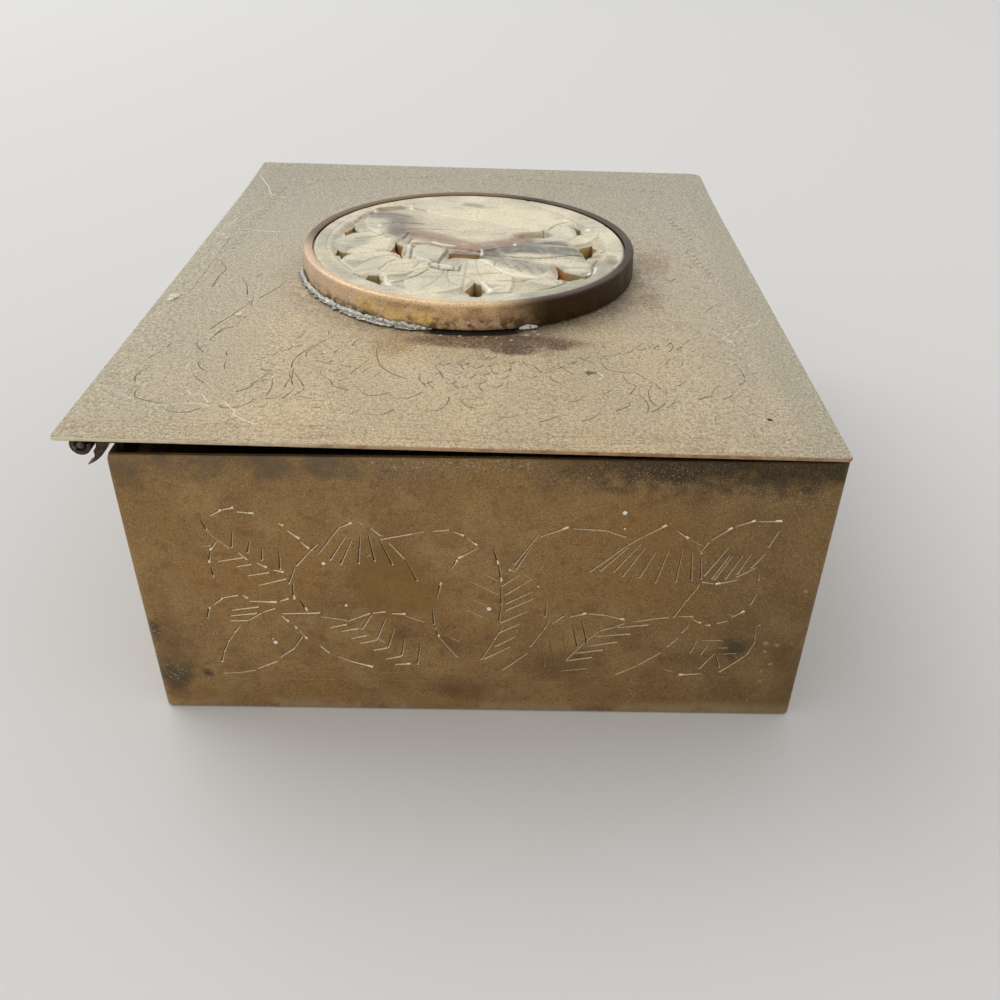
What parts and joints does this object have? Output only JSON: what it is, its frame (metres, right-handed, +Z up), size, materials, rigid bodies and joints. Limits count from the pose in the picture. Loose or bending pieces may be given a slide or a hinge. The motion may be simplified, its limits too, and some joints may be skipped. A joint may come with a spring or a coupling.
{
  "type": "trinket box",
  "caption": "Rectangular sheet-brass trinket box, lined with wood, with a hinged overhanging lid that carries a round pierced stone medallion in a brass bezel.",
  "frame": {"origin": "on the surface that the box stands on, under the middle of the closed lid", "axes": "+Z up, +X towards the edge that opens, -X towards the hinge, -Y towards the near short end"},
  "size_m": [0.102, 0.1256, 0.0523],
  "materials": {
    "case_brass": "aged, engraved, dull satin",
    "lid_brass": "aged, engraved, dull satin",
    "bezel_brass": "copper-brown patina, worn satin",
    "hinge_brass": "dark tarnish",
    "pin_wire": "dull wire",
    "solder": "rough oxidised solder",
    "carved_stone": "carved and polished soft stone, opaque",
    "lining_wood": "planed, waxed"
  },
  "bodies": {
    "case": {"wall_band": "case_brass", "base_plate": "case_brass", "lining_hinge_side": "lining_wood", "lining_opening_side": "lining_wood", "lining_near_end": "lining_wood", "lining_far_end": "lining_wood", "lining_floor": "lining_wood", "box_hinge_leaf": "hinge_brass", "hinge_pin": "pin_wire"},
    "lid": {"lid_plate": "lid_brass", "lid_hinge_leaf": "hinge_brass", "lid_lining": "lining_wood", "bezel_ring": "bezel_brass", "carved_disc": "carved_stone", "bezel_solder_side": "solder", "bezel_solder_front": "solder"}
  },
  "joints": [
    {"name": "lid_hinge", "type": "hinge", "parent": "case", "child": "lid", "pos_m": [-0.04815, 0, 0.0458], "axis": [0, -1, 0], "range_deg": [0, 110]}
  ]
}
